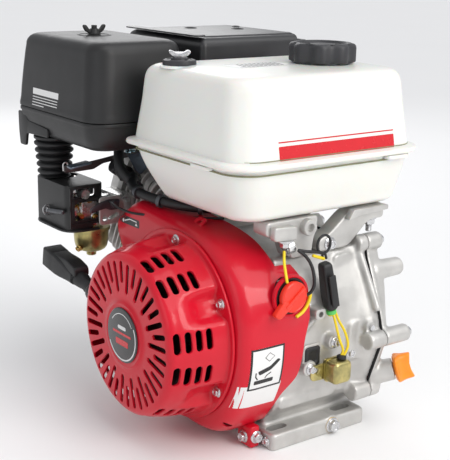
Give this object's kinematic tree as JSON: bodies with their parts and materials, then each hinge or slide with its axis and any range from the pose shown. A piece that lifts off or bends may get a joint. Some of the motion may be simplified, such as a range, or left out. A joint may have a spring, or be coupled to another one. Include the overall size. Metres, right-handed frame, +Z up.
{
  "type": "small gasoline engine",
  "caption": "Air-cooled four-stroke petrol engine with inclined cylinder, recoil starter, fuel tank, air cleaner, muffler and keyed horizontal output shaft.",
  "frame": {"origin": "centre of the four base slots, on the base's underside", "axes": "+X along the crankshaft towards the output shaft's end, +Y towards the cylinder, +Z up"},
  "size_m": [0.3969, 0.4493, 0.464],
  "materials": {
    "cast": "die cast, bare, fine grain",
    "steel": "machined",
    "iron": "cast or pressed, dark",
    "zinc": "zinc plated, olive tint",
    "red_paint": "glossy baked paint",
    "black_paint": "semi-matt heat paint",
    "black_plastic": "moulded, fine texture",
    "white_plastic": "blow moulded, translucent",
    "orange_plastic": "moulded",
    "red_plastic": "moulded",
    "rubber": "matt",
    "ceramic": "glazed",
    "foam": "pleated paper and foam",
    "yellow": "wire insulation"
  },
  "bodies": {
    "engine": {"crankcase": "cast", "side_cover": "cast", "main_bearing_flywheel_side": "steel", "main_bearing_pto_side": "steel", "cylinder_head": "cast", "rocker_cover": "cast", "spark_plug": "ceramic", "spark_plug_cap": "rubber", "ignition_coil": "black_plastic", "recoil_housing": "red_paint", "centre_badge": "black_paint", "fan_shroud": "red_paint", "switch_body": "black_plastic", "fuel_tank": "white_plastic", "fuel_gauge": "black_plastic", "tank_bracket_pto_side": "cast", "tank_bracket_starter_side": "cast", "air_cleaner_base": "black_plastic", "filter_element": "foam", "intake_duct": "rubber", "carburetor_shroud": "black_plastic", "carburetor": "cast", "float_bowl": "zinc", "control_plate": "steel", "fuel_hose": "rubber", "muffler": "iron", "muffler_shield": "black_paint", "oil_alert_unit": "zinc", "wire_connector": "rubber", "alert_lead": "yellow", "switch_lead": "rubber"},
    "crank": {"crankshaft_flywheel_half": "steel", "crankshaft_pto_half": "steel", "shaft_key": "steel", "flywheel": "iron", "cooling_fan": "black_plastic", "starter_cup": "iron"},
    "cam": {"camshaft": "iron"},
    "balancer": {"balancer_shaft": "iron"},
    "governor": {"governor_gear": "black_plastic"},
    "piston_group": {"piston": "cast", "connecting_rod": "cast", "crankpin": "steel"},
    "intake_rocker_body": {"intake_rocker": "iron"},
    "exhaust_rocker_body": {"exhaust_rocker": "iron"},
    "intake_valve_body": {"intake_valve": "steel"},
    "exhaust_valve_body": {"exhaust_valve": "steel"},
    "intake_push_rod_body": {"intake_push_rod": "steel"},
    "exhaust_push_rod_body": {"exhaust_push_rod": "steel"},
    "grip": {"pull_grip": "rubber", "starter_rope": "black_plastic"},
    "reel": {"recoil_reel": "black_plastic"},
    "tank_cap": {"fuel_cap": "black_plastic"},
    "air_cover": {"air_cleaner_cover": "black_plastic"},
    "cover_nut": {"wing_nut": "black_plastic"},
    "choke": {"choke_rod": "iron"},
    "throttle_lever": {"control_lever": "iron"},
    "governor_lever": {"governor_arm": "steel"},
    "switch": {"switch_knob": "red_plastic"},
    "oil_dipstick": {"dipstick": "orange_plastic"}
  },
  "joints": [
    {"name": "crank_spin", "type": "hinge", "parent": "engine", "child": "crank", "pos_m": [0, 0, 0.132], "axis": [1, 0, 0], "continuous": true},
    {"name": "cam_spin", "type": "hinge", "parent": "engine", "child": "cam", "pos_m": [0, 0.06604, 0.09438], "axis": [1, 0, 0], "continuous": true},
    {"name": "balancer_spin", "type": "hinge", "parent": "engine", "child": "balancer", "pos_m": [0, -0.07878, 0.11811], "axis": [1, 0, 0], "continuous": true},
    {"name": "governor_spin", "type": "hinge", "parent": "engine", "child": "governor", "pos_m": [0, 0.01114, 0.05149], "axis": [1, 0, 0], "continuous": true},
    {"name": "piston_stroke", "type": "slide", "parent": "engine", "child": "piston_group", "axis": [0, 0.9063, 0.4226], "range_m": [-0.066, 0]},
    {"name": "intake_rocker_tilt", "type": "hinge", "parent": "engine", "child": "intake_rocker_body", "pos_m": [-0.02, 0.2511, 0.2182], "axis": [1, 0, 0], "range_deg": [0, 8.5]},
    {"name": "intake_valve_lift", "type": "slide", "parent": "engine", "child": "intake_valve_body", "axis": [0, -0.9063, -0.4226], "range_m": [0, 0.00504]},
    {"name": "intake_push_rod_lift", "type": "slide", "parent": "engine", "child": "intake_push_rod_body", "axis": [0, 0.9063, 0.4226], "range_m": [0, 0.00504]},
    {"name": "exhaust_rocker_tilt", "type": "hinge", "parent": "engine", "child": "exhaust_rocker_body", "pos_m": [0.02, 0.2511, 0.2182], "axis": [1, 0, 0], "range_deg": [0, 8.5]},
    {"name": "exhaust_valve_lift", "type": "slide", "parent": "engine", "child": "exhaust_valve_body", "axis": [0, -0.9063, -0.4226], "range_m": [0, 0.00504]},
    {"name": "exhaust_push_rod_lift", "type": "slide", "parent": "engine", "child": "exhaust_push_rod_body", "axis": [0, 0.9063, 0.4226], "range_m": [0, 0.00504]},
    {"name": "grip_pull", "type": "slide", "parent": "engine", "child": "grip", "axis": [0, 0.9863, 0.165], "range_m": [0, 0.065]},
    {"name": "reel_spin", "type": "hinge", "parent": "engine", "child": "reel", "pos_m": [-0.168, 0, 0.132], "axis": [1, 0, 0], "range_deg": [0, 86]},
    {"name": "fuel_cap_lift", "type": "slide", "parent": "engine", "child": "tank_cap", "axis": [0, 0, 1], "range_m": [0, 0.06]},
    {"name": "air_cover_lift", "type": "slide", "parent": "engine", "child": "air_cover", "axis": [0, 0, 1], "range_m": [0, 0.12]},
    {"name": "wing_nut_turn", "type": "hinge", "parent": "air_cover", "child": "cover_nut", "pos_m": [-0.11, 0.208, 0.452], "axis": [0, 0, 1], "continuous": true},
    {"name": "choke_pull", "type": "slide", "parent": "engine", "child": "choke", "axis": [1, 0, 0], "range_m": [-0.015, 0]},
    {"name": "control_lever_turn", "type": "hinge", "parent": "engine", "child": "throttle_lever", "pos_m": [-0.112, 0.1602, 0.24], "axis": [0, 1, 0], "range_deg": [-12, 18]},
    {"name": "governor_arm_swing", "type": "hinge", "parent": "engine", "child": "governor_lever", "pos_m": [-0.097, 0.158, 0.15], "axis": [1, 0, 0], "range_deg": [-4, 6]},
    {"name": "switch_turn", "type": "hinge", "parent": "engine", "child": "switch", "pos_m": [-0.058, -0.122, 0.189], "axis": [0, 1, 0], "range_deg": [0, 45]},
    {"name": "dipstick_pull", "type": "slide", "parent": "engine", "child": "oil_dipstick", "axis": [0.7404, -0.6097, 0.2831], "range_m": [0, 0.06]}
  ],
  "couplings": [
    {"joint": "cam_spin", "follows": "crank_spin", "ratio": -0.5},
    {"joint": "balancer_spin", "follows": "crank_spin", "ratio": -1},
    {"joint": "governor_spin", "follows": "crank_spin", "ratio": 1.3333},
    {"joint": "intake_valve_lift", "follows": "intake_rocker_tilt", "m_per_rad": 0.034},
    {"joint": "intake_push_rod_lift", "follows": "intake_rocker_tilt", "m_per_rad": 0.034},
    {"joint": "exhaust_valve_lift", "follows": "exhaust_rocker_tilt", "m_per_rad": 0.034},
    {"joint": "exhaust_push_rod_lift", "follows": "exhaust_rocker_tilt", "m_per_rad": 0.034},
    {"joint": "reel_spin", "follows": "grip_pull", "rad_per_m": 22.2}
  ]
}
